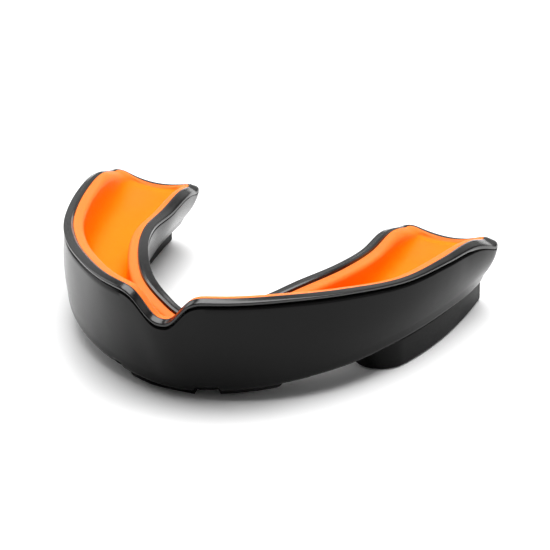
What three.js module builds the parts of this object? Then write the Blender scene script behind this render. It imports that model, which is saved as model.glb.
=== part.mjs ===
// A layered mouthguard for the upper teeth, lying on its bite pads with the tooth trough upward.
//
// Millimetres, +Z up. The lips are toward -Y and the throat is toward +Y. The guard is mirror
// symmetric about x = 0, apart from the ribs under its front bite plate. The origin is the centre
// of the rectangle that the guard covers on the surface it lies on.
//
// Every layer is lofted along one dental arch, which is half an ellipse. A station angle of 0 is
// the midline between the front teeth, and 90 degrees is the end behind the last molar. At each
// station the cross-section is drawn as (offset, height): the offset is measured from the arch
// line, positive toward the lips and cheeks and negative toward the tongue.
import * as THREE from 'three';

// ---- Driving dimensions ----

const ARCH_HALF_WIDTH = 22.8;
const ARCH_DEPTH = 41.7;

// Stations along the arch, in degrees, and the dimension that each list below has at each of them.
const STATIONS = [0, 15, 30, 45, 60, 72, 82, 90];

const LIP_RIM_OFFSET = [7.6, 7.1, 6.6, 7.1, 7.8, 8.2, 8.6, 9.2];
const LIP_RIM_HEIGHT = [17.3, 17.1, 16.4, 15.3, 13.8, 13.2, 12.3, 9.7];
const LIP_BEAD_WIDTH = [1.5, 1.6, 1.7, 1.8, 1.5, 1.5, 1.7, 2.2];
const LIP_BEAD_RISE = [0.5, 0.4, 0.3, 0.1, 0.1, 0.4, 0.8, 1.1];

const TONGUE_RIM_OFFSET = [-5.6, -5.2, -4.9, -5.1, -5.5, -6.6, -7.1, -6.5];
const TONGUE_RIM_HEIGHT = [10.3, 10.5, 11.6, 12.6, 12.3, 11.4, 11.4, 9.7];
const TONGUE_BEAD_WIDTH = [1.6, 1.6, 1.8, 1.6, 1.5, 1.6, 1.6, 1.5];
const TONGUE_BEAD_RISE = [0.1, 0.2, 0.4, 0.2, 0.3, 0.5, 0.6, 0.8];

const LIP_EDGE_OFFSET = [2.2, 3.1, 4.8, 6.4, 7.2, 7.2, 6.9, 6.6];
const TONGUE_EDGE_OFFSET = [-4.3, -4.1, -3.9, -3.7, -3.7, -3.8, -3.7, -3.5];
const EDGE_HEIGHT = [1.0, 1.7, 2.7, 3.6, 4.4, 4.4, 4.0, 3.7];

const FLOOR_OFFSET = [0.2, 0.3, 0.4, 0.7, 0.8, 0.7, 0.5, 0.2];
const FLOOR_HEIGHT = [4.6, 4.8, 5.4, 6.2, 6.9, 7.2, 7.8, 9.3];
const FLOOR_HALF_WIDTH = [1.4, 1.6, 2.2, 3.0, 3.4, 3.6, 3.3, 2.4];

// The notch that clears the frenum of the upper lip, and the shallow dip behind the front teeth.
const NOTCH_DEPTH = 4.3;
const NOTCH_INSET = 0.9;
const NOTCH_WIDTH = 2.25;
const TONGUE_DIP_DEPTH = 1.2;
const TONGUE_DIP_WIDTH = 5.8;
const DIP_EXPONENT = 2.6;

// The layers. A fraction runs from 0 on the trough's surface to 1 on the outside surface.
const LINER_TO_FRAME = 0.45;
const FRAME_TO_SHELL = 0.73;
const LAYER_GAP = 0.18;
const LIP_WIDTH = 1.5;
const LIP_DROP = 0.3;
const BEAD_CROWN = 0.3;
const BEAD_OVERHANG = 0.35;
const GROOVE_DROP = 0.7;
const WALL_BULGE = 0.35;
const EDGE_FILLET = 0.9;
const BEZIER_DROP = 0.8;

// The closing walls behind the trough, measured back from the liner's end.
const FRAME_WALL_START = 0.2;
const FRAME_WALL_END = 0.95;
const FRAME_WALL_DROP = 0.6;
const SHELL_WALL_START = 1.1;
const REAR_WALL = 2.4;
const SHELL_WALL_DROP = 1.5;
const WALL_STEP = 0.05;
const REAR_TAPER = 0.16;

// The molar pads and the front bite plate, below the underside of the shell.
const PART_GAP = 0.12;
const PAD_NOSE_ANGLE = 54;
const PAD_REAR_REACH = 2.3;
const PAD_NOSE_RADIUS = 4;
const PAD_REAR_RADIUS = 1.5;
const PAD_LIP_INSET = 0.5;
const PAD_TONGUE_INSET = 2;
const PAD_EDGE_ROUND = 0.35;
const PLATE_END_ANGLE = 38;
const PLATE_LIP_INSET = 1.4;
const PLATE_TONGUE_INSET = 0.75;
const PLATE_THICKNESS = 0.35;
const SIDE_RIB_DEPTH = 0.8;
const MIDDLE_RIB_DEPTH = 1.1;
const RIB_FLANK_ANGLE = 0.6;

// Each rib's first and last station angle, and how far it stands down from the top of the plate.
const RIBS = [
  [-31, -21, SIDE_RIB_DEPTH],
  [-17.5, 6.3, MIDDLE_RIB_DEPTH],
  [7.6, 30, SIDE_RIB_DEPTH],
];

// Mesh density: steps along the arch, and points on a profile from rim to rim.
const ARCH_STEPS = 44;
const ARCH_STEP_BIAS = 1.35;
const WALL_POINTS = 4;
const HALF_PROFILE = 8;

const RUBBER_BLACK = { color: 0x232426, roughness: 0.55, metalness: 0 };
const RIM_BLACK = { color: 0x1b1c1f, roughness: 0.28, metalness: 0 };
const PAD_BLACK = { color: 0x1d1e20, roughness: 0.6, metalness: 0 };
const GEL_ORANGE = { color: 0xff8412, roughness: 0.4, metalness: 0 };

const DEGREE = Math.PI / 180;
const LAST_STATION = STATIONS.at(-1);

// ---- Dimensions along the arch ----

// A smooth value at a station angle: cubic pieces, mirrored about the midline.
function along(values, angle) {
  const place = Math.min(Math.abs(angle), LAST_STATION);
  const last = STATIONS.length - 1;
  const index = Math.min(STATIONS.findLastIndex((station) => station <= place), last - 1);
  const slopeAt = (i) => {
    if (i === 0) return 0;
    const after = Math.min(i + 1, last);
    return (values[after] - values[i - 1]) / (STATIONS[after] - STATIONS[i - 1]);
  };
  const span = STATIONS[index + 1] - STATIONS[index];
  const t = (place - STATIONS[index]) / span;
  const rise = t * t * (3 - 2 * t);
  const start = values[index] + (values[index + 1] - values[index]) * rise;
  const leaving = slopeAt(index) * span * t * (1 - t) * (1 - t);
  const arriving = slopeAt(index + 1) * span * t * t * (1 - t);
  return start + leaving - arriving;
}

// Distance along the arch line from the midline, close to it, where the arch is nearly a circle.
function distanceFromMidline(angle) {
  const width = ARCH_HALF_WIDTH * Math.sin(angle * DEGREE);
  const depth = ARCH_DEPTH * (1 - Math.cos(angle * DEGREE));
  return Math.hypot(width, depth);
}

function dip(angle, depth, width) {
  return depth * Math.exp(-((distanceFromMidline(angle) / width) ** DIP_EXPONENT));
}

// The wall leans inward as it goes down, so its lower rim in the notch stands further in.
function lipRimOffset(angle) {
  return along(LIP_RIM_OFFSET, angle) - dip(angle, NOTCH_INSET, NOTCH_WIDTH);
}

function lipRimHeight(angle) {
  return along(LIP_RIM_HEIGHT, angle) - dip(angle, NOTCH_DEPTH, NOTCH_WIDTH);
}

function tongueRimHeight(angle) {
  return along(TONGUE_RIM_HEIGHT, angle) - dip(angle, TONGUE_DIP_DEPTH, TONGUE_DIP_WIDTH);
}

// ---- Profiles, as arrays of Vector2(offset, height) from the lip side to the tongue side ----

function point(offset, height) {
  return new THREE.Vector2(offset, height);
}

function mix(from, to, fraction) {
  return from.clone().lerp(to, fraction);
}

// The two edges of each rim bead: its groove edge outside, and its edge against the liner.
function rims(angle) {
  const lipGroove = point(lipRimOffset(angle), lipRimHeight(angle));
  const lipLiner = point(
    lipGroove.x - along(LIP_BEAD_WIDTH, angle),
    lipGroove.y + along(LIP_BEAD_RISE, angle),
  );
  const tongueGroove = point(along(TONGUE_RIM_OFFSET, angle), tongueRimHeight(angle));
  const tongueLiner = point(
    tongueGroove.x + along(TONGUE_BEAD_WIDTH, angle),
    tongueGroove.y + along(TONGUE_BEAD_RISE, angle),
  );
  return { lipGroove, lipLiner, tongueGroove, tongueLiner };
}

// The trough's surface, from the inside of one lip of the liner down to its floor and up again.
function troughProfile(angle) {
  const { lipLiner, tongueLiner } = rims(angle);
  const lipTop = point(lipLiner.x - LIP_WIDTH, lipLiner.y - LIP_DROP);
  const tongueTop = point(tongueLiner.x + LIP_WIDTH, tongueLiner.y - LIP_DROP);
  const floor = point(along(FLOOR_OFFSET, angle), along(FLOOR_HEIGHT, angle));
  const reach = along(FLOOR_HALF_WIDTH, angle);
  const half = (top, side) => new THREE.CubicBezierCurve(
    top,
    point(top.x, top.y - BEZIER_DROP * (top.y - floor.y)),
    point(floor.x + side * reach, floor.y),
    floor,
  ).getPoints(HALF_PROFILE);
  return [...half(lipTop, 1), ...half(tongueTop, -1).reverse().slice(1)];
}

// The outside of the black walls and the underside between them, with as many points.
function outsideProfile(angle) {
  const { lipGroove, tongueGroove } = rims(angle);
  const height = along(EDGE_HEIGHT, angle);
  const lipEdge = point(along(LIP_EDGE_OFFSET, angle), height);
  const tongueEdge = point(along(TONGUE_EDGE_OFFSET, angle), height);
  const half = (groove, edge, other, side) => {
    const top = point(groove.x - side * BEAD_OVERHANG, groove.y - GROOVE_DROP);
    const filletTop = mix(edge, top, EDGE_FILLET / edge.distanceTo(top));
    const filletEnd = mix(edge, other, EDGE_FILLET / edge.distanceTo(other));
    const wall = [];
    for (let i = 0; i < WALL_POINTS; i += 1) {
      const fraction = i / WALL_POINTS;
      const bulge = WALL_BULGE * 4 * fraction * (1 - fraction);
      wall.push(mix(top, filletTop, fraction).add(point(side * bulge, 0)));
    }
    const fillet = new THREE.QuadraticBezierCurve(filletTop, edge, filletEnd).getPoints(3);
    return [...wall, ...fillet];
  };
  return [
    ...half(lipGroove, lipEdge, tongueEdge, 1),
    mix(lipEdge, tongueEdge, 0.5),
    ...half(tongueGroove, tongueEdge, lipEdge, -1).reverse(),
  ];
}

// The surface a fraction of the way from the trough to the outside, moved by half a layer gap.
function between(trough, outside, fraction, side) {
  return trough.map((inner, i) => {
    const shift = side * LAYER_GAP / 2 / inner.distanceTo(outside[i]);
    return mix(inner, outside[i], fraction + shift);
  });
}

function lowered(profile, drop) {
  return profile.map((p) => point(p.x, p.y - drop));
}

// The rounded top of a rim bead: under the overhang, then an arc from its groove edge to the liner.
function beadOutline(groove, liner, side) {
  const edge = point(liner.x + side * LAYER_GAP, liner.y);
  const across = edge.clone().sub(groove).normalize();
  const up = point(side * across.y, -side * across.x);
  const arc = [0, 0.2, 0.5, 0.8, 1].map((fraction) => {
    const crown = BEAD_CROWN * Math.sin(Math.PI * fraction);
    return mix(groove, edge, fraction).addScaledVector(up, crown);
  });
  return [point(groove.x - side * BEAD_OVERHANG, groove.y - BEAD_CROWN), ...arc];
}

// ---- Closed cross-sections of each layer at one station ----

function linerSection(angle) {
  const { lipLiner, tongueLiner } = rims(angle);
  const trough = troughProfile(angle);
  const back = between(trough, outsideProfile(angle), LINER_TO_FRAME, -1);
  return [tongueLiner, ...back.reverse(), lipLiner, ...trough];
}

function frameSection(angle, beyond) {
  const { lipGroove, lipLiner, tongueGroove, tongueLiner } = rims(angle);
  const trough = troughProfile(angle);
  const outside = outsideProfile(angle);
  const inner = beyond >= FRAME_WALL_START
    ? lowered(trough, FRAME_WALL_DROP)
    : between(trough, outside, LINER_TO_FRAME, 1);
  const outer = between(trough, outside, FRAME_TO_SHELL, -1);
  return [
    ...outer.reverse(),
    ...beadOutline(lipGroove, lipLiner, 1),
    ...inner,
    ...beadOutline(tongueGroove, tongueLiner, -1).reverse(),
  ];
}

function shellSection(angle, beyond) {
  const trough = troughProfile(angle);
  const outside = outsideProfile(angle);
  const inner = beyond >= SHELL_WALL_START
    ? lowered(trough, SHELL_WALL_DROP)
    : between(trough, outside, FRAME_TO_SHELL, 1);
  inner[0].y = Math.min(inner[0].y, outside[0].y);
  inner.at(-1).y = Math.min(inner.at(-1).y, outside.at(-1).y);
  return [...outside.reverse(), ...inner];
}

// A pad or plate section: a flat bottom with rounded edges, under a top at a given height.
function blockSection(lipSide, tongueSide, bottom, top) {
  const round = Math.min(PAD_EDGE_ROUND, (lipSide - tongueSide) / 4, (top - bottom) / 2);
  return [
    point(tongueSide, top),
    point(tongueSide, bottom + round),
    point(tongueSide + round, bottom),
    point(lipSide - round, bottom),
    point(lipSide, bottom + round),
    point(lipSide, top),
  ];
}

// ---- Lofting along the arch ----

// Places a section's point in space. Past the last station the arch runs on straight back, and
// the whole section tapers a little, which rounds the guard's rear corners.
function place(section, angle, beyond) {
  const radians = angle * DEGREE;
  const line = point(ARCH_HALF_WIDTH * Math.sin(radians), -ARCH_DEPTH * Math.cos(radians));
  const outward = point(ARCH_DEPTH * Math.sin(radians), -ARCH_HALF_WIDTH * Math.cos(radians));
  outward.normalize();
  const taper = 1 - REAR_TAPER * (beyond / REAR_WALL) ** 2;
  const middle = along(FLOOR_OFFSET, angle);
  const base = along(EDGE_HEIGHT, angle);
  return section.map((p) => {
    const offset = middle + (p.x - middle) * taper;
    const height = beyond > 0 ? base + (p.y - base) * taper : p.y;
    return new THREE.Vector3(
      line.x + outward.x * offset,
      line.y + outward.y * offset + beyond,
      height,
    );
  });
}

// Closed body through rings of equal length, with a flat cap on each end ring. Each four-sided
// patch is split along its shorter diagonal, so the facing sides of two layers match.
function loft(sections) {
  const rings = sections.map(({ section, angle, beyond = 0 }) => place(section, angle, beyond));
  const points = rings.flat();
  const size = rings[0].length;
  const indices = [];
  for (let ring = 0; ring + 1 < rings.length; ring += 1) {
    for (let i = 0; i < size; i += 1) {
      const a = ring * size + i;
      const b = ring * size + (i + 1) % size;
      const c = b + size;
      const d = a + size;
      if (points[a].distanceTo(points[c]) < points[b].distanceTo(points[d])) {
        indices.push(a, c, b, a, d, c);
      } else {
        indices.push(a, d, b, b, d, c);
      }
    }
  }
  const lastRing = (rings.length - 1) * size;
  for (const [a, b, c] of capTriangles(sections[0].section)) indices.push(a, b, c);
  for (const [a, b, c] of capTriangles(sections.at(-1).section)) {
    indices.push(lastRing + a, lastRing + c, lastRing + b);
  }
  const geometry = new THREE.BufferGeometry();
  const coordinates = points.flatMap((p) => p.toArray());
  geometry.setAttribute('position', new THREE.Float32BufferAttribute(coordinates, 3));
  geometry.setIndex(indices);
  geometry.computeVertexNormals();
  return geometry;
}

// Triangles of a cross-section, wound the same way as its outline.
function capTriangles(section) {
  const triangles = THREE.ShapeUtils.triangulateShape([...section], []);
  const area = THREE.ShapeUtils.area(section);
  return triangles.map(([a, b, c]) => {
    const same = THREE.ShapeUtils.area([section[a], section[b], section[c]]) * area > 0;
    return same ? [a, b, c] : [a, c, b];
  });
}

// Station angles from one rear end to the other, closer together at the notch.
function archAngles() {
  const angles = [];
  for (let i = 0; i <= ARCH_STEPS; i += 1) {
    const fraction = 2 * i / ARCH_STEPS - 1;
    angles.push(LAST_STATION * Math.sign(fraction) * Math.abs(fraction) ** ARCH_STEP_BIAS);
  }
  return angles;
}

// A layer over the whole arch, with the same rings past both rear ends.
function wholeArch(sectionAt, rearSteps) {
  const ring = (angle, beyond) => ({ section: sectionAt(angle, beyond), angle, beyond });
  return loft([
    ...[...rearSteps].reverse().map((beyond) => ring(-LAST_STATION, beyond)),
    ...archAngles().map((angle) => ring(angle, 0)),
    ...rearSteps.map((beyond) => ring(LAST_STATION, beyond)),
  ]);
}

function frameGeometry() {
  const rear = [FRAME_WALL_START - WALL_STEP, FRAME_WALL_START, FRAME_WALL_END];
  return wholeArch(frameSection, rear);
}

function shellGeometry() {
  const middle = (SHELL_WALL_START + REAR_WALL) / 2;
  const rear = [SHELL_WALL_START - WALL_STEP, SHELL_WALL_START, middle, REAR_WALL];
  return wholeArch(shellSection, rear);
}

// How much of its full width a pad has at a distance from the start of a rounded end.
function roundedEnd(distance, radius) {
  if (distance >= radius) return 1;
  return Math.sqrt(1 - (1 - distance / radius) ** 2);
}

// A block under one side's molars, with a rounded nose toward the front and a rounded rear.
function padGeometry(side) {
  const lineLength = (LAST_STATION - PAD_NOSE_ANGLE) * DEGREE * ARCH_DEPTH + PAD_REAR_REACH;
  const steps = [0.05, 0.4, 1, 2, 3, PAD_NOSE_RADIUS, 8, 12, 16, 20, 23];
  const rearSteps = [PAD_REAR_RADIUS, 0.8, 0.3, 0.05].map((rest) => lineLength - rest);
  const sections = [...steps, ...rearSteps].map((distance) => {
    const nose = roundedEnd(distance, PAD_NOSE_RADIUS);
    const rear = roundedEnd(lineLength - distance, PAD_REAR_RADIUS);
    const angle = side * (PAD_NOSE_ANGLE + distance / ARCH_DEPTH / DEGREE);
    const lipSide = along(LIP_EDGE_OFFSET, angle) - PAD_LIP_INSET;
    const tongueSide = along(TONGUE_EDGE_OFFSET, angle) + PAD_TONGUE_INSET;
    const middle = (lipSide + tongueSide) / 2;
    const halfWidth = (lipSide - tongueSide) / 2 * nose - PAD_REAR_RADIUS * (1 - rear);
    const top = along(EDGE_HEIGHT, angle) - PART_GAP;
    return { section: blockSection(middle + halfWidth, middle - halfWidth, 0, top), angle };
  });
  return loft(side > 0 ? sections : sections.reverse());
}

// A thin plate under the front of the shell, with ribs that leave breathing gaps between them.
function plateGeometry() {
  const edges = RIBS.flatMap(([start, end, depth]) => [
    [start - RIB_FLANK_ANGLE, PLATE_THICKNESS],
    [start, depth],
    [start * 2 / 3 + end / 3, depth],
    [start / 3 + end * 2 / 3, depth],
    [end, depth],
    [end + RIB_FLANK_ANGLE, PLATE_THICKNESS],
  ]);
  const ends = [[-PLATE_END_ANGLE, PLATE_THICKNESS], ...edges, [PLATE_END_ANGLE, PLATE_THICKNESS]];
  return loft(ends.map(([angle, depth]) => {
    const top = along(EDGE_HEIGHT, angle) - PART_GAP;
    const bottom = Math.max(0, top - depth);
    const lipSide = along(LIP_EDGE_OFFSET, angle) - PLATE_LIP_INSET;
    const tongueSide = along(TONGUE_EDGE_OFFSET, angle) + PLATE_TONGUE_INSET;
    return { section: blockSection(lipSide, tongueSide, bottom, top), angle };
  }));
}

// ---- Assembly ----

function addPart(name, geometry, finish) {
  const mesh = new THREE.Mesh(geometry, new THREE.MeshStandardMaterial(finish));
  mesh.name = name;
  mouthguard.add(mesh);
}

const mouthguard = new THREE.Group();
addPart('gel_liner', wholeArch(linerSection, []), GEL_ORANGE);
addPart('rim_frame', frameGeometry(), RIM_BLACK);
addPart('outer_shell', shellGeometry(), RUBBER_BLACK);
addPart('front_bite_plate', plateGeometry(), PAD_BLACK);
addPart('molar_pad_left', padGeometry(-1), PAD_BLACK);
addPart('molar_pad_right', padGeometry(1), PAD_BLACK);

// The pieces are drawn from the arch's rear end line, and the guard is then centred front to back.
mouthguard.position.y = -new THREE.Box3().setFromObject(mouthguard).getCenter(new THREE.Vector3()).y;

export default mouthguard;
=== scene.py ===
"""The looks of a layered mouthguard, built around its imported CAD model.

Sections are worked out in millimetres and become metres when a mesh is made. Each layer is swept
round a closed loop: along the lip side of the arch, round a rear end, back along the tongue side
and round the other rear end. At each place on the loop, a half-section runs from the middle of
the layer's inner surface, over its rim, to the middle of its outer surface.
"""

import math

import bmesh
import bpy
import numpy as np
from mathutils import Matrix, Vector


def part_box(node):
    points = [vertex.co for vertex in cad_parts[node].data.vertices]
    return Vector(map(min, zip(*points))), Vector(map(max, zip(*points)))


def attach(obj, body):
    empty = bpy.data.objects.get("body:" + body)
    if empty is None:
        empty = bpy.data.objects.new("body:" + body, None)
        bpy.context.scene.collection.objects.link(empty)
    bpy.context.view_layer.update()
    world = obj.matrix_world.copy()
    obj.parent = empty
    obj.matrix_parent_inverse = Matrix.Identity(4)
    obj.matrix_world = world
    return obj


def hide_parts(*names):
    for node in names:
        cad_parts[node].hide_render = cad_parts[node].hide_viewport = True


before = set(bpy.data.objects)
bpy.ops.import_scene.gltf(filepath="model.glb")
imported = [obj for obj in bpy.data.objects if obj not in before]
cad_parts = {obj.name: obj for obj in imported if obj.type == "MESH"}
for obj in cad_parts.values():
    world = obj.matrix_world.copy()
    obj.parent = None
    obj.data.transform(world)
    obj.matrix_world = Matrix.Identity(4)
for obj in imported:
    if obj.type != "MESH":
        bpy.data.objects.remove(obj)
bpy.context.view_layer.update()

MM = 0.001
BODY = "root"

# ---- Driving dimensions of the arch, in millimetres, the same as in the CAD model ----

ARCH_HALF_WIDTH = 22.8
ARCH_DEPTH = 41.7
REAR_LINE_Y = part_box("gel_liner")[1].y / MM

STATIONS = (0, 15, 30, 45, 60, 72, 82, 90)
LIP_RIM_OFFSET = (7.6, 7.1, 6.6, 7.1, 7.8, 8.2, 8.6, 9.2)
LIP_RIM_HEIGHT = (17.3, 17.1, 16.4, 15.3, 13.8, 13.2, 12.3, 9.7)
LIP_BEAD_WIDTH = (1.5, 1.6, 1.7, 1.8, 1.5, 1.5, 1.7, 2.2)
LIP_BEAD_RISE = (0.5, 0.4, 0.3, 0.1, 0.1, 0.4, 0.8, 1.1)
TONGUE_RIM_OFFSET = (-5.6, -5.2, -4.9, -5.1, -5.5, -6.6, -7.1, -6.5)
TONGUE_RIM_HEIGHT = (10.3, 10.5, 11.6, 12.6, 12.3, 11.4, 11.4, 9.7)
TONGUE_BEAD_WIDTH = (1.6, 1.6, 1.8, 1.6, 1.5, 1.6, 1.6, 1.5)
TONGUE_BEAD_RISE = (0.1, 0.2, 0.4, 0.2, 0.3, 0.5, 0.6, 0.8)
LIP_EDGE_OFFSET = (2.2, 3.1, 4.8, 6.4, 7.2, 7.2, 6.9, 6.6)
TONGUE_EDGE_OFFSET = (-4.3, -4.1, -3.9, -3.7, -3.7, -3.8, -3.7, -3.5)
EDGE_HEIGHT = (1.0, 1.7, 2.7, 3.6, 4.4, 4.4, 4.0, 3.7)
FLOOR_OFFSET = (0.2, 0.3, 0.4, 0.7, 0.8, 0.7, 0.5, 0.2)
FLOOR_HEIGHT = (4.6, 4.8, 5.4, 6.2, 6.9, 7.2, 7.8, 9.3)
FLOOR_HALF_WIDTH = (1.4, 1.6, 2.2, 3.0, 3.4, 3.6, 3.3, 2.4)

NOTCH_DEPTH = 4.3
NOTCH_INSET = 0.9
NOTCH_WIDTH = 2.25
TONGUE_DIP_DEPTH = 1.2
TONGUE_DIP_WIDTH = 5.8
DIP_EXPONENT = 2.6
FULL_ANGLE = 90

# ---- The fine shape of the rims, walls and rear ends ----

LINER_TO_FRAME = 0.45
FRAME_TO_SHELL = 0.73
LAYER_GAP = 0.04
LIP_WIDTH = 1.5
LIP_DROP = 0.3
LIP_EDGE_ROUND = 0.12
TONGUE_LIP_STEP = 0.35
CREASE_ROUND = 0.55
REAR_CREASE_ROUND = 1.3
CREASE_SHARE = (0.02, 0.3)
BEZIER_DROP = 0.8
LIP_BEAD_CROWN = 0.3
TONGUE_BEAD_CROWN = 0.15
BEAD_EDGE_ROUND = 0.06
BEAD_LEAD = 0.25
BEAD_UNDERCUT = (0.5, 0.06)
CROWN_PLACE = 0.72
BEAD_ROLL = 0.5
BEAD_BELLY = (0.12, 0.4)
GROOVE_HEIGHT = 0.3
GROOVE_TOP = 0.2
GROOVE_INSET = 0.32
SHELL_LIP_ROUND = 0.22
SHELL_LIP_LEAST = 0.3
WALL_BULGE = 0.35
EDGE_FILLET = 0.9
REAR_EDGE_FILLET = 0.35
WALL_START = 1.5
CORNER_LEAN = 0.6
TONGUE_GROOVE = 0.5

# Station angles between which a feature changes into its rear form or fades out.
REAR_CHANGE = (72, 88)
CROWN_CHANGE = (80, 89)
LIP_GROOVE_FADE = (78, 86)
TONGUE_GROOVE_FADE = (45, 70)
TONGUE_STEP_FADE = (76, 88)

# Small steps along the shell's bottom edge: first angle, last angle, and rise.
EDGE_STEPS = (
    (-21, -18, 0.45),
    (-17.2, 6, -0.15),
    (6.8, 13.6, 0.5),
    (14.4, 29.4, -0.2),
    (30.2, 36, -0.08),
)
STEP_ANGLE = 0.8

FAN_START = 0.9
REAR_OVERHANG = 2.4
REAR_BEAD_WIDTH = 1.8
REAR_BEAD_RISE = 1.0
REAR_BEAD_CROWN = 0.2
REAR_RIM_HEIGHT = 8.5
REAR_EDGE_INSET = 0.1
REAR_SQUARENESS = 0.9
REAR_LIP_WIDTH = 0.35
REAR_FLOOR_HALF_WIDTH = 0.2

ARCH_STEPS = 120
ARCH_STEP_BIAS = 1.3
CORNER_STEPS = 14
REAR_STEPS = 9
WELD_DISTANCE = 0.002
SHARP_ANGLE = 50
TINY = 1e-9


# ---- Dimensions along the arch ----

def along(values, angle):
    """A smooth value at each station angle, in degrees from 0 to 90, as in the CAD model."""
    stations = np.array(STATIONS, float)
    values = np.array(values, float)
    slopes = np.zeros(len(values))
    slopes[1:-1] = (values[2:] - values[:-2]) / (stations[2:] - stations[:-2])
    slopes[-1] = (values[-1] - values[-2]) / (stations[-1] - stations[-2])
    index = np.clip(np.searchsorted(stations, angle, side="right") - 1, 0, len(stations) - 2)
    span = stations[index + 1] - stations[index]
    t = (angle - stations[index]) / span
    start = values[index] + (values[index + 1] - values[index]) * t * t * (3 - 2 * t)
    leaving = slopes[index] * span * t * (1 - t) ** 2
    arriving = slopes[index + 1] * span * t * t * (1 - t)
    return start + leaving - arriving


def dip(angle, depth, width):
    """How far a rim drops at each angle in a round-bottomed notch at the midline."""
    radians = np.radians(angle)
    across = ARCH_HALF_WIDTH * np.sin(radians)
    back = ARCH_DEPTH * (1 - np.cos(radians))
    return depth * np.exp(-(np.hypot(across, back) / width) ** DIP_EXPONENT)


def smoothstep(low, high, value):
    """A smooth change from 0 at the low value to 1 at the high value."""
    t = np.clip((value - low) / (high - low), 0, 1)
    return t * t * (3 - 2 * t)


def underside(angle):
    """The height of the shell's bottom edge at each signed angle, with its small steps."""
    height = along(EDGE_HEIGHT, np.minimum(np.abs(angle), FULL_ANGLE))
    for start, end, rise in EDGE_STEPS:
        rising = smoothstep(start - STEP_ANGLE, start, angle)
        falling = smoothstep(end, end + STEP_ANGLE, angle)
        height = height + rise * (rising - falling)
    return height


def arch_point(angle, offset, height):
    """Points in space at a station angle, an offset from the arch line and a height."""
    radians = np.radians(angle)
    outward_x = ARCH_DEPTH * np.sin(radians)
    outward_y = -ARCH_HALF_WIDTH * np.cos(radians)
    length = np.hypot(outward_x, outward_y)
    x = ARCH_HALF_WIDTH * np.sin(radians) + offset * outward_x / length
    y = REAR_LINE_Y - ARCH_DEPTH * np.cos(radians) + offset * outward_y / length
    return np.stack(np.broadcast_arrays(x, y, height), axis=-1)


# ---- Curves between points, each point an array of (offset, height) with one row a station ----

def point(offset, height):
    return np.stack(np.broadcast_arrays(offset, height), axis=-1).astype(float)


def mixed(start, end, share):
    return start + (end - start) * share


def straight(start, end, count):
    t = np.linspace(0, 1, count)[None, :, None]
    return start[:, None] + (end - start)[:, None] * t


def bezier(start, leave, arrive, end, count, last=1.0):
    """A cubic curve up to a parameter, which is given for all rows or for each of them."""
    t = np.reshape(last, (-1, 1, 1)) * np.linspace(0, 1, count)[None, :, None]
    start, leave, arrive, end = (p[:, None] for p in (start, leave, arrive, end))
    near = start * (1 - t) ** 3 + 3 * leave * t * (1 - t) ** 2
    return near + 3 * arrive * t * t * (1 - t) + end * t ** 3


def corner(start, middle, end, count):
    """A round turn from start to end that leans toward the sharp corner between them."""
    leave = start + (middle - start) * CORNER_LEAN
    arrive = end + (middle - end) * CORNER_LEAN
    return bezier(start, leave, arrive, end, count)


def toward(start, end, distance):
    """The point a distance from start on the way to end."""
    step = end - start
    length = np.linalg.norm(step, axis=-1, keepdims=True)
    return start + step * np.reshape(distance, (-1, 1)) / np.maximum(length, TINY)


def join(*curves):
    """One curve through several, without the point that each shares with the next."""
    return np.concatenate([*(c[:, :-1] for c in curves[:-1]), curves[-1]], axis=1)


# ---- What sets the half-section at each place of the loop ----

def lip_side(angle):
    """What sets the half-section on the lip side. Offsets run outward from the arch line."""
    return {
        "rim": along(LIP_RIM_OFFSET, angle) - dip(angle, NOTCH_INSET, NOTCH_WIDTH),
        "height": along(LIP_RIM_HEIGHT, angle) - dip(angle, NOTCH_DEPTH, NOTCH_WIDTH),
        "bead": along(LIP_BEAD_WIDTH, angle),
        "rise": along(LIP_BEAD_RISE, angle),
        "edge": along(LIP_EDGE_OFFSET, angle),
        "floor": along(FLOOR_OFFSET, angle),
        "keel": (along(LIP_EDGE_OFFSET, angle) + along(TONGUE_EDGE_OFFSET, angle)) / 2,
        "step": 0 * angle,
        "crown": mixed(LIP_BEAD_CROWN, REAR_BEAD_CROWN, smoothstep(*CROWN_CHANGE, angle)),
        "groove": 1 - smoothstep(*LIP_GROOVE_FADE, angle),
    }


def tongue_side(angle):
    """What sets the half-section on the tongue side. Offsets run inward from the arch line."""
    return {
        "rim": -along(TONGUE_RIM_OFFSET, angle),
        "height": (
            along(TONGUE_RIM_HEIGHT, angle) - dip(angle, TONGUE_DIP_DEPTH, TONGUE_DIP_WIDTH)
        ),
        "bead": along(TONGUE_BEAD_WIDTH, angle),
        "rise": along(TONGUE_BEAD_RISE, angle),
        "edge": -along(TONGUE_EDGE_OFFSET, angle),
        "floor": -along(FLOOR_OFFSET, angle),
        "keel": -(along(LIP_EDGE_OFFSET, angle) + along(TONGUE_EDGE_OFFSET, angle)) / 2,
        "step": TONGUE_LIP_STEP * (1 - smoothstep(*TONGUE_STEP_FADE, angle)),
        "crown": mixed(TONGUE_BEAD_CROWN, REAR_BEAD_CROWN, smoothstep(*CROWN_CHANGE, angle)),
        "groove": TONGUE_GROOVE * (1 - smoothstep(*TONGUE_GROOVE_FADE, angle)),
    }


def both_sides(angle, side):
    """What the lip side and the tongue side share. Side is 1 on the right, -1 on the left."""
    rear = smoothstep(*REAR_CHANGE, angle)
    return {
        "base": along(EDGE_HEIGHT, angle),
        "relief": underside(side * angle) - along(EDGE_HEIGHT, angle),
        "fillet": mixed(EDGE_FILLET, REAR_EDGE_FILLET, rear),
        "floor_height": along(FLOOR_HEIGHT, angle),
        "floor_reach": along(FLOOR_HALF_WIDTH, angle),
        "lip": LIP_WIDTH + 0 * angle,
        "crease": mixed(CREASE_ROUND, REAR_CREASE_ROUND, rear),
    }


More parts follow.
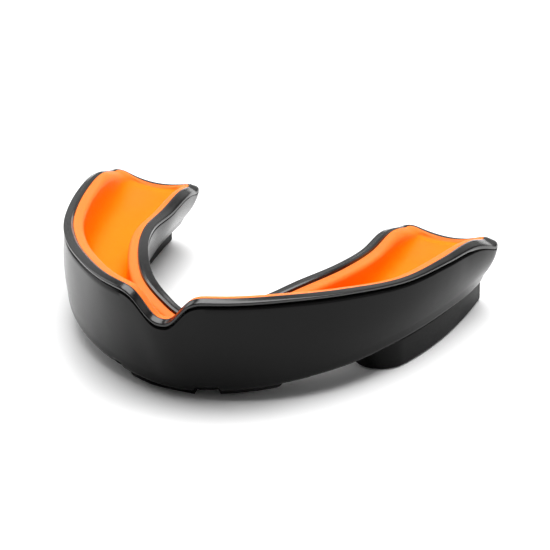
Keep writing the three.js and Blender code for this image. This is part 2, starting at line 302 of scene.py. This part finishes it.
def rear_side(angle):
    """What sets the half-section that points straight back, in the middle of a rear end."""
    reach = FAN_START + REAR_OVERHANG
    return {
        "rim": np.array([reach]),
        "height": np.array([REAR_RIM_HEIGHT]),
        "bead": np.array([REAR_BEAD_WIDTH]),
        "rise": np.array([REAR_BEAD_RISE]),
        "edge": np.array([reach - REAR_EDGE_INSET]),
        "floor": np.zeros(1),
        "keel": np.zeros(1),
        "step": np.zeros(1),
        "base": along(EDGE_HEIGHT, angle),
        "relief": np.zeros(1),
        "fillet": np.array([REAR_EDGE_FILLET]),
        "floor_height": along(FLOOR_HEIGHT, angle),
        "floor_reach": np.array([REAR_FLOOR_HALF_WIDTH]),
        "lip": np.array([REAR_LIP_WIDTH]),
        "crease": np.array([REAR_LIP_WIDTH / 2]),
        "crown": np.array([REAR_BEAD_CROWN]),
        "groove": np.zeros(1),
    }


# ---- The half-section of each layer ----

UNDER_POINTS = 6
FILLET_POINTS = 7
WALL_POINTS = 16
SIDE_POINTS = 3
BAND_POINTS = 5
CREASE_POINTS = 7
BEAD_EDGE_POINTS = 4
BEAD_TOP_POINTS = 7
BEAD_SIDE_POINTS = 16
SHELL_LIP_POINTS = 6
PROFILE_POINTS = UNDER_POINTS + FILLET_POINTS + WALL_POINTS - 1
# The liner's paler lip band, partly painted sheen and partly thinner gel, fades in over these
# section points.
PALE_EDGE_SHEEN_POINTS = (PROFILE_POINTS - 4, PROFILE_POINTS + 5)


class HalfSection:
    """The curves that the three layers share at each place."""

    def __init__(self, d):
        self.d = d
        self.groove = point(d["rim"], d["height"])
        self.liner = point(d["rim"] - d["bead"], d["height"] + d["rise"])
        self.liner_edge = self.liner - point(0, d["step"])
        self.top = self.liner_edge - point(d["lip"], LIP_DROP)
        self.floor = point(d["floor"], d["floor_height"])
        depth = self.top[:, 1] - self.floor[:, 1]
        self.wall_control = self.top - point(0, BEZIER_DROP * depth)
        self.floor_control = self.floor + point(d["floor_reach"], 0)
        self.trough = self.trough_curve()
        self.outside = self.outside_curve()

    def trough_curve(self, last=1.0):
        """From the floor's middle up the trough's wall."""
        ends = (self.floor, self.floor_control, self.wall_control, self.top)
        return bezier(*ends, PROFILE_POINTS, last=last)

    def outside_curve(self):
        """From the underside's middle, round the bottom edge and up the wall."""
        d = self.d
        keel = point(d["keel"], d["base"] + d["relief"])
        foot = point(d["edge"], d["base"])
        drop = GROOVE_TOP + GROOVE_HEIGHT * d["groove"]
        wall_top = self.groove - point(GROOVE_INSET * d["groove"], drop)
        lean = (wall_top - foot) / (wall_top - foot)[:, 1:]
        edge = foot + lean * d["relief"][:, None]
        wall_start = foot + lean * WALL_START
        fillet_start = toward(edge, keel, d["fillet"])
        fillet_end = toward(edge, wall_top, d["fillet"])
        wall = straight(wall_start, wall_top, WALL_POINTS)
        rise = np.linspace(0, 1, WALL_POINTS)
        wall[..., 0] += WALL_BULGE * 4 * rise * (1 - rise)
        return join(
            straight(keel, fillet_start, UNDER_POINTS),
            corner(fillet_start, edge, fillet_end, FILLET_POINTS),
            straight(fillet_end, wall_start, 2),
            wall,
        )

    def between(self, fraction, side):
        """The surface part of the way from the trough to the outside, half a gap to one side."""
        step = self.outside - self.trough
        length = np.linalg.norm(step, axis=-1, keepdims=True)
        return self.trough + step * (fraction + side * LAYER_GAP / 2 / length)

    def liner_layer(self):
        """The gel: up the trough's wall, over the lip and down the back."""
        d = self.d
        depth = np.linalg.norm(self.top - self.wall_control, axis=-1)
        share = np.clip(d["crease"] / depth / 3, *CREASE_SHARE)
        curve = self.trough_curve(1 - share)
        wall_end = curve[:, -1]
        band_start = toward(self.top, self.liner_edge, d["crease"])
        band_end = toward(self.liner_edge, self.top, LIP_EDGE_ROUND)
        side = self.liner_edge - point(0, LIP_EDGE_ROUND)
        back = self.between(LINER_TO_FRAME, -1)[:, ::-1]
        return join(
            curve,
            corner(wall_end, self.top, band_start, CREASE_POINTS),
            straight(band_start, band_end, BAND_POINTS),
            corner(band_end, self.liner_edge, side, BAND_POINTS),
            straight(side, back[:, 0], SIDE_POINTS),
            back,
        )

    def frame_layer(self):
        """The inner frame: up behind the liner, over the rolled bead and down behind the shell."""
        d = self.d
        inner = self.between(LINER_TO_FRAME, 1)
        outer = self.between(FRAME_TO_SHELL, -1)[:, ::-1]
        edge = self.liner + point(LAYER_GAP, 0)
        across = edge - self.groove
        across /= np.linalg.norm(across, axis=-1, keepdims=True)
        up = np.stack([across[:, 1], -across[:, 0]], axis=-1)
        crown = self.groove + (edge - self.groove) * CROWN_PLACE + up * d["crown"][:, None]
        roll = crown - across * BEAD_ROLL * d["bead"][:, None]
        belly = self.groove + point(BEAD_BELLY[0] * d["groove"], BEAD_BELLY[1])
        lower_lip = self.groove - point(GROOVE_INSET * d["groove"], GROOVE_TOP)
        shoulder = toward(edge, crown, BEAD_EDGE_ROUND)
        side = edge - point(0, BEAD_EDGE_ROUND)
        under = lower_lip - point(*BEAD_UNDERCUT)
        rise = toward(shoulder, crown, BEAD_LEAD)
        return join(
            inner,
            straight(inner[:, -1], side, SIDE_POINTS),
            corner(side, edge, shoulder, BEAD_EDGE_POINTS),
            bezier(shoulder, rise, crown + across * BEAD_LEAD, crown, BEAD_TOP_POINTS),
            bezier(crown, roll, belly, lower_lip, BEAD_SIDE_POINTS),
            straight(lower_lip, under, SIDE_POINTS),
            straight(under, outer[:, 0], SIDE_POINTS),
            outer,
        )

    def shell_layer(self):
        """The shell: up its hidden inner side, over its lip and down the outside wall."""
        inner = self.between(FRAME_TO_SHELL, 1)
        outside = self.outside[:, ::-1]
        lip = outside[:, 0]
        top = point(np.minimum(inner[:, -1, 0], lip[:, 0] - SHELL_LIP_LEAST), lip[:, 1])
        inner[:, -1] = top
        lip_start = toward(lip, top, SHELL_LIP_ROUND)
        lip_end = toward(lip, outside[:, 1], SHELL_LIP_ROUND)
        outside[:, 0] = lip_end
        return join(
            inner,
            straight(top, lip_start, SIDE_POINTS),
            corner(lip_start, lip, lip_end, SHELL_LIP_POINTS),
            outside,
        )


# ---- Sweeping a layer round the loop ----

def arch_angles():
    """Station angles from the midline to where the rear end begins to close."""
    last = FULL_ANGLE - math.degrees(FAN_START / ARCH_DEPTH)
    return last * np.linspace(0, 1, ARCH_STEPS + 1) ** ARCH_STEP_BIAS


def rear_fan(lip, tongue, rear):
    """The points round the right rear end, from the lip side to the tongue side."""
    middle = (lip[:, 0] - tongue[:, 0]) / 2
    half_width = (lip[:, 0] + tongue[:, 0]) / 2
    turns = np.radians(np.linspace(0, 90, CORNER_STEPS + 1)).clip(0, math.pi / 2 - TINY)
    rows = [
        (half_width - rear[:, 0] * (1 - math.cos(t) ** REAR_SQUARENESS),
         rear[:, 0] * math.sin(t) ** REAR_SQUARENESS)
        for t in turns
    ]
    for share in np.linspace(1, 0, REAR_STEPS + 1)[1:]:
        rows.append(((half_width - rear[:, 0]) * share, rear[:, 0]))
    points = []
    for side, profile, order in ((1, lip, rows), (-1, tongue, rows[-2::-1])):
        for across, back in order:
            share = np.clip(across / np.maximum(half_width, TINY), 0, 1)
            height = rear[:, 1] + (profile[:, 1] - rear[:, 1]) * share ** 2
            place = arch_point(FULL_ANGLE, middle + side * across, height)
            place[:, 1] += back - FAN_START
            points.append(place)
    return np.array(points)


def sweep_half(layer, side):
    """One half of a layer, drawn on the right, from the lip side to the tongue side."""
    angles = arch_angles()
    shared = both_sides(angles, side)
    lip = layer(HalfSection({**lip_side(angles), **shared}))
    tongue = layer(HalfSection({**tongue_side(angles), **shared}))
    rear = layer(HalfSection(rear_side(angles[-1:])))
    column = angles[:, None]
    lip_points = arch_point(column, lip[..., 0], lip[..., 1])
    tongue_points = arch_point(column, -tongue[..., 0], tongue[..., 1])
    fan = rear_fan(lip[-1], tongue[-1], rear[0])
    return np.concatenate([lip_points[:-1], fan, tongue_points[-2::-1]])


def sweep(layer):
    """Every point of a layer, as loop places by half-section points."""
    left = sweep_half(layer, -1)[-2:0:-1] * (-1, 1, 1)
    return np.concatenate([sweep_half(layer, 1), left])


def make_mesh(name, points, faces):
    mesh = bpy.data.meshes.new(name)
    mesh.from_pydata((points * MM).tolist(), [], faces)
    piece = bpy.data.objects.new(name, mesh)
    bpy.context.scene.collection.objects.link(piece)
    return piece


def grid_faces(rows, columns, closed_rows, closed_columns):
    """Four-sided faces over a grid of points."""
    faces = []
    for row in range(rows if closed_rows else rows - 1):
        here = row * columns
        there = (row + 1) % rows * columns
        for column in range(columns if closed_columns else columns - 1):
            after = (column + 1) % columns
            faces.append((here + column, here + after, there + after, there + column))
    return faces


def weld(piece, distance):
    """Joins points that lie on each other, and turns the faces outward."""
    mesh = bmesh.new()
    mesh.from_mesh(piece.data)
    bmesh.ops.remove_doubles(mesh, verts=mesh.verts, dist=distance * MM)
    bmesh.ops.dissolve_degenerate(mesh, edges=mesh.edges, dist=distance * MM / 2)
    bmesh.ops.recalc_face_normals(mesh, faces=mesh.faces)
    if mesh.calc_volume(signed=True) < 0:
        bmesh.ops.reverse_faces(mesh, faces=mesh.faces)
    mesh.to_mesh(piece.data)
    mesh.free()


def finish_piece(piece, node, material):
    weld(piece, WELD_DISTANCE)
    piece.data.polygons.foreach_set("use_smooth", [True] * len(piece.data.polygons))
    piece.data.set_sharp_from_angle(angle=math.radians(SHARP_ANGLE))
    piece.data.materials.append(material)
    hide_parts(node)
    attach(piece, BODY)
    return piece


def make_layer(name, node, material, layer):
    """A layer's piece. On the liner, the attribute called lip marks its paler edge, whose colour is
    partly painted sheen and partly the thinner gel there.
    """
    points = sweep(layer)
    rows, columns = points.shape[:2]
    piece = make_mesh(name, points.reshape(-1, 3), grid_faces(rows, columns, True, False))
    if layer == HalfSection.liner_layer:
        # The lip mask says where the pale colour goes: partly painted sheen, partly the thinner gel
        # of the lips.
        lip = smoothstep(*PALE_EDGE_SHEEN_POINTS, np.arange(columns))
        attribute = piece.data.attributes.new("lip", "FLOAT", "POINT")
        attribute.data.foreach_set("value", np.tile(lip, rows).astype(np.float32))
    return finish_piece(piece, node, material)


# ---- The pads and the plate under the shell ----

PART_GAP = 0.12
PAD_NOSE_ANGLE = 54
PAD_REAR_REACH = 2.3
PAD_NOSE_RADIUS = 4
PAD_REAR_RADIUS = 1.5
PAD_LIP_INSET = 0.5
PAD_TONGUE_INSET = 2
PAD_EDGE_ROUND = 0.55
PLATE_END_ANGLE = 38
PLATE_LIP_INSET = 1.4
PLATE_TONGUE_INSET = 0.75
PLATE_THICKNESS = 0.35
PLATE_END_RADIUS = 1.6
PLATE_EDGE_ROUND = 0.15
RIBS = ((-31, -21, 0.8), (-17.5, 6.3, 1.1), (7.6, 30, 0.8))
RIB_FLANK_ANGLE = 0.8
BLOCK_STATIONS = 150
ROUND_POINTS = 6
LAST_SAMPLE_ANGLE = 95
LENGTH_SAMPLES = 400


def arc_length(angle):
    """Distance along the arch line from the midline to a station angle, signed."""
    samples = np.radians(np.linspace(0, LAST_SAMPLE_ANGLE, LENGTH_SAMPLES))
    speed = np.hypot(ARCH_HALF_WIDTH * np.cos(samples), ARCH_DEPTH * np.sin(samples))
    steps = (speed[1:] + speed[:-1]) / 2 * np.diff(samples)
    lengths = np.concatenate([[0], np.cumsum(steps)])
    return np.sign(angle) * np.interp(abs(angle), np.degrees(samples), lengths)


def angle_at(length):
    """The station angle at a signed distance along the arch line."""
    angles = np.linspace(-LAST_SAMPLE_ANGLE, LAST_SAMPLE_ANGLE, 2 * LENGTH_SAMPLES)
    return np.interp(length, arc_length(angles), angles)


def rounded_end(distance, radius):
    """The share of its full width that a block has at a distance from a rounded end."""
    short = np.clip(1 - distance / radius, 0, 1)
    return np.sqrt(1 - short ** 2)


def block_points(start, end, lip_inset, tongue_inset, radii, edge_round, bottom_at):
    """A block along the arch under the shell, as stations by section points."""
    sigma = (1 - np.cos(np.linspace(0, math.pi, BLOCK_STATIONS))) / 2
    first, last = arc_length(start), arc_length(end)
    columns = []

    def add_column(inset, side, share=1.0, level=None):
        """Points at a height over the block's bottom, or along its top where no level is given."""
        distance = inset + (last - first - 2 * inset) * sigma
        angle = angle_at(first + distance)
        size = np.minimum(abs(angle), FULL_ANGLE)
        lip = along(LIP_EDGE_OFFSET, size) - lip_inset - inset
        tongue = along(TONGUE_EDGE_OFFSET, size) + tongue_inset + inset
        from_start = rounded_end(distance - inset, radii[0] - inset)
        from_end = rounded_end(last - first - inset - distance, radii[1] - inset)
        reach = (lip - tongue) / 2 * from_start * from_end * share * side
        height = underside(angle) - PART_GAP
        if level is not None:
            height = np.minimum(bottom_at(angle) + level, height)
        columns.append(arch_point(angle, (lip + tongue) / 2 + reach, height))

    turns = np.linspace(0, math.pi / 2, ROUND_POINTS)
    rounding = [(edge_round * (1 - math.cos(t)), edge_round * (1 - math.sin(t))) for t in turns]
    for share in (-0.5, 0, 0.5, 1):
        add_column(0, 1, share)
    for inset, level in rounding:
        add_column(inset, 1, level=level)
    for share in (0.5, 0, -0.5):
        add_column(edge_round, 1, share, 0)
    for inset, level in rounding[::-1]:
        add_column(inset, -1, level=level)
    add_column(0, -1)
    return np.stack(columns, axis=1)


def make_block(name, node, material, points):
    rows, columns = points.shape[:2]
    piece = make_mesh(name, points.reshape(-1, 3), grid_faces(rows, columns, False, True))
    return finish_piece(piece, node, material)


def flat_bottom(angle):
    return 0 * angle


def make_pad(side, material):
    word = "right" if side > 0 else "left"
    rear = FULL_ANGLE + math.degrees(PAD_REAR_REACH / ARCH_DEPTH)
    radii = (PAD_NOSE_RADIUS, PAD_REAR_RADIUS)
    points = block_points(
        PAD_NOSE_ANGLE, rear, PAD_LIP_INSET, PAD_TONGUE_INSET, radii, PAD_EDGE_ROUND, flat_bottom
    )
    points = points * (side, 1, 1)
    return make_block(f"molar_pad_{word}_rubber", f"molar_pad_{word}", material, points)


def plate_bottom(angle):
    """The plate's underside, with a step down at each rib."""
    depth = PLATE_THICKNESS + 0 * angle
    for start, end, rib_depth in RIBS:
        rising = smoothstep(start - RIB_FLANK_ANGLE, start, angle)
        falling = smoothstep(end, end + RIB_FLANK_ANGLE, angle)
        depth = depth + (rib_depth - PLATE_THICKNESS) * (rising - falling)
    return np.maximum(0, underside(angle) - PART_GAP - depth)


def make_plate(material):
    radii = (PLATE_END_RADIUS, PLATE_END_RADIUS)
    points = block_points(
        -PLATE_END_ANGLE, PLATE_END_ANGLE, PLATE_LIP_INSET, PLATE_TONGUE_INSET,
        radii, PLATE_EDGE_ROUND, plate_bottom,
    )
    return make_block("front_bite_plate_ribs", "front_bite_plate", material, points)


# ---- Materials ----

NOISE_RANGE = (0.3, 0.7)
DARKEST_RUBBER = (0.002, 0.002, 0.002)
RUBBER_DRIFT_SCALE = 90
RUBBER_WAVE_SCALE = 240
GEL_BODY = ((0.95, 0.185, 0.0), (0.95, 0.205, 0.0))
# A paler peach along the liner's lips: partly painted sheen, partly the thinner gel there.
GEL_PALE_EDGE_SHEEN = (0.96, 0.195, 0.036)
GEL_DRIFT_SCALE = 70
GEL_GRAIN_SCALE = 2500
GEL_GRAIN_DEPTH = 0.000004
GEL_ROUGHNESS = (0.42, 0.52)
GEL_SCATTER = (1.0, 0.5, 0.08)
FLOOR_WHITE = (0.93, 0.93, 0.93, 1)


def new_material(name):
    material = bpy.data.materials.new(name)
    material.use_nodes = True
    return material, material.node_tree.nodes, material.node_tree.links


def add_node(nodes, kind, **values):
    node = nodes.new(kind)
    for key, value in values.items():
        if key in node.inputs:
            node.inputs[key].default_value = value
        else:
            setattr(node, key, value)
    return node


def noise(nodes, links, place, scale, detail):
    node = add_node(nodes, "ShaderNodeTexNoise", Scale=scale, Detail=detail)
    links.new(place.outputs["Object"], node.inputs["Vector"])
    return node.outputs["Fac"]


def ranged(nodes, links, value, low, high):
    """The middle part of a noise's range, stretched to run from low to high."""
    node = nodes.new("ShaderNodeMapRange")
    node.inputs["From Min"].default_value = NOISE_RANGE[0]
    node.inputs["From Max"].default_value = NOISE_RANGE[1]
    node.inputs["To Min"].default_value = low
    node.inputs["To Max"].default_value = high
    links.new(value, node.inputs["Value"])
    return node.outputs["Result"]


def mixed_colour(nodes, links, share, first, second):
    """A blend of two colours, of which the first may be another node's output."""
    node = nodes.new("ShaderNodeMix")
    node.data_type = "RGBA"
    links.new(share, node.inputs["Factor"])
    if isinstance(first, bpy.types.NodeSocket):
        links.new(first, node.inputs["A"])
    else:
        node.inputs["A"].default_value = (*first, 1)
    node.inputs["B"].default_value = (*second, 1)
    return node.outputs["Result"]


def bumped(nodes, links, height, strength, distance, before=None):
    node = add_node(nodes, "ShaderNodeBump", Strength=strength, Distance=distance)
    links.new(height, node.inputs["Height"])
    if before is not None:
        links.new(before, node.inputs["Normal"])
    return node.outputs["Normal"]


def rubber(name, lightest, roughness, specular, grain_scale, grain_depth, wave_depth):
    """Moulded black rubber: slow colour drift, a fine grain and slight waves from the mould."""
    material, nodes, links = new_material(name)
    shader = nodes["Principled BSDF"]
    place = nodes.new("ShaderNodeTexCoord")
    drift = noise(nodes, links, place, RUBBER_DRIFT_SCALE, 2)
    grain = noise(nodes, links, place, grain_scale, 4)
    waves = noise(nodes, links, place, RUBBER_WAVE_SCALE, 1)
    colour = mixed_colour(nodes, links, drift, DARKEST_RUBBER, lightest)
    links.new(colour, shader.inputs["Base Color"])
    links.new(ranged(nodes, links, grain, *roughness), shader.inputs["Roughness"])
    wavy = bumped(nodes, links, waves, 1, wave_depth)
    links.new(bumped(nodes, links, grain, 1, grain_depth, wavy), shader.inputs["Normal"])
    shader.inputs["Specular IOR Level"].default_value = specular
    return material


def gel(name):
    """Orange thermoplastic gel: slightly translucent, paler along its thin lips, where the paler
    colour is partly painted sheen and partly the thinner gel.
    """
    material, nodes, links = new_material(name)
    shader = nodes["Principled BSDF"]
    place = nodes.new("ShaderNodeTexCoord")
    drift = noise(nodes, links, place, GEL_DRIFT_SCALE, 2)
    grain = noise(nodes, links, place, GEL_GRAIN_SCALE, 3)
    body = mixed_colour(nodes, links, drift, *GEL_BODY)
    # The lip attribute mixes in the pale colour: partly painted sheen on the lips, partly the
    # thinner gel.
    lip = add_node(nodes, "ShaderNodeAttribute", attribute_name="lip")
    colour = mixed_colour(nodes, links, lip.outputs["Fac"], body, GEL_PALE_EDGE_SHEEN)
    links.new(colour, shader.inputs["Base Color"])
    links.new(ranged(nodes, links, grain, *GEL_ROUGHNESS), shader.inputs["Roughness"])
    links.new(bumped(nodes, links, grain, 1, GEL_GRAIN_DEPTH), shader.inputs["Normal"])
    shader.inputs["Subsurface Weight"].default_value = 0.3
    shader.inputs["Subsurface Radius"].default_value = GEL_SCATTER
    shader.inputs["Subsurface Scale"].default_value = MM
    shader.inputs["Specular IOR Level"].default_value = 0.08
    return material


def floor_paint():
    material, nodes, links = new_material("studio_floor_white")
    shader = nodes["Principled BSDF"]
    shader.inputs["Base Color"].default_value = FLOOR_WHITE
    shader.inputs["Roughness"].default_value = 0.9
    shader.inputs["Specular IOR Level"].default_value = 0.0
    return material


# ---- Studio ----

CAMERA_AIM = Vector((0.0047, 0.00384, 0.0086))
CAMERA_AZIMUTH = 23.6
CAMERA_ELEVATION = 26.27
CAMERA_DISTANCE = 0.5
CAMERA_LENS = 226.5
WORLD_STRENGTH = 0.15
STUDIO_FLOOR_REACH = 3

# Each softbox: name, azimuth, elevation, distance, width, height and power.
SOFTBOXES = (
    ("softbox_overhead", 175, 80, 1.4, 1.5, 1.5, 42.5),
    ("softbox_left", -100, 28, 0.9, 0.6, 0.5, 2.5),
    ("softbox_back", 200, 24, 1.2, 1.6, 0.6, 1.8),
    ("softbox_right", 95, 24, 0.9, 0.8, 0.4, 0.8),
)


def direction(azimuth, elevation):
    """The direction from the object to something round it. Azimuth 0 is toward -Y, 90 toward +X."""
    a, e = math.radians(azimuth), math.radians(elevation)
    return Vector((math.sin(a) * math.cos(e), -math.cos(a) * math.cos(e), math.sin(e)))


def add_camera():
    camera = bpy.data.objects.new("camera", bpy.data.cameras.new("camera"))
    bpy.context.scene.collection.objects.link(camera)
    back = direction(CAMERA_AZIMUTH, CAMERA_ELEVATION)
    camera.location = CAMERA_AIM + back * CAMERA_DISTANCE
    camera.rotation_euler = back.to_track_quat("Z", "Y").to_euler()
    camera.data.sensor_width = 36
    camera.data.lens = CAMERA_LENS
    camera.data.clip_start = 0.01
    camera.data.clip_end = 100
    bpy.context.scene.camera = camera


def add_area_light(name, azimuth, elevation, distance, width, height, power):
    light = bpy.data.lights.new(name, "AREA")
    light.shape = "RECTANGLE"
    light.size = width
    light.size_y = height
    light.energy = power
    lamp = bpy.data.objects.new(name, light)
    bpy.context.scene.collection.objects.link(lamp)
    back = direction(azimuth, elevation)
    lamp.location = back * distance
    lamp.rotation_euler = back.to_track_quat("Z", "Y").to_euler()


def add_floor():
    mesh = bmesh.new()
    bmesh.ops.create_grid(mesh, x_segments=1, y_segments=1, size=STUDIO_FLOOR_REACH)
    floor = bpy.data.objects.new("studio_floor", bpy.data.meshes.new("studio_floor"))
    mesh.to_mesh(floor.data)
    mesh.free()
    bpy.context.scene.collection.objects.link(floor)
    floor.data.materials.append(floor_paint())


def add_studio():
    scene = bpy.context.scene
    world = bpy.data.worlds.new("studio")
    world.use_nodes = True
    background = world.node_tree.nodes["Background"]
    background.inputs["Color"].default_value = (1, 1, 1, 1)
    background.inputs["Strength"].default_value = WORLD_STRENGTH
    scene.world = world
    scene.view_settings.view_transform = "Standard"
    for softbox in SOFTBOXES:
        add_area_light(*softbox)
    add_floor()
    add_camera()


# ---- Everything together ----

gel_orange = gel("gel_orange")
rim_black = rubber(
    "rim_black", lightest=(0.004, 0.004, 0.004), roughness=(0.2, 0.27), specular=0.5,
    grain_scale=3000, grain_depth=0.000002, wave_depth=0.00003,
)
shell_black = rubber(
    "shell_black", lightest=(0.003, 0.003, 0.003), roughness=(0.2, 0.27), specular=0.12,
    grain_scale=4500, grain_depth=0.000003, wave_depth=0.00002,
)
pad_black = rubber(
    "pad_black", lightest=(0.003, 0.003, 0.003), roughness=(0.4, 0.5), specular=0.1,
    grain_scale=4000, grain_depth=0.00001, wave_depth=0.00002,
)

make_layer("gel_liner_skin", "gel_liner", gel_orange, HalfSection.liner_layer)
make_layer("rim_frame_bead", "rim_frame", rim_black, HalfSection.frame_layer)
make_layer("outer_shell_wall", "outer_shell", shell_black, HalfSection.shell_layer)
make_plate(pad_black)
make_pad(-1, pad_black)
make_pad(1, pad_black)
add_studio()
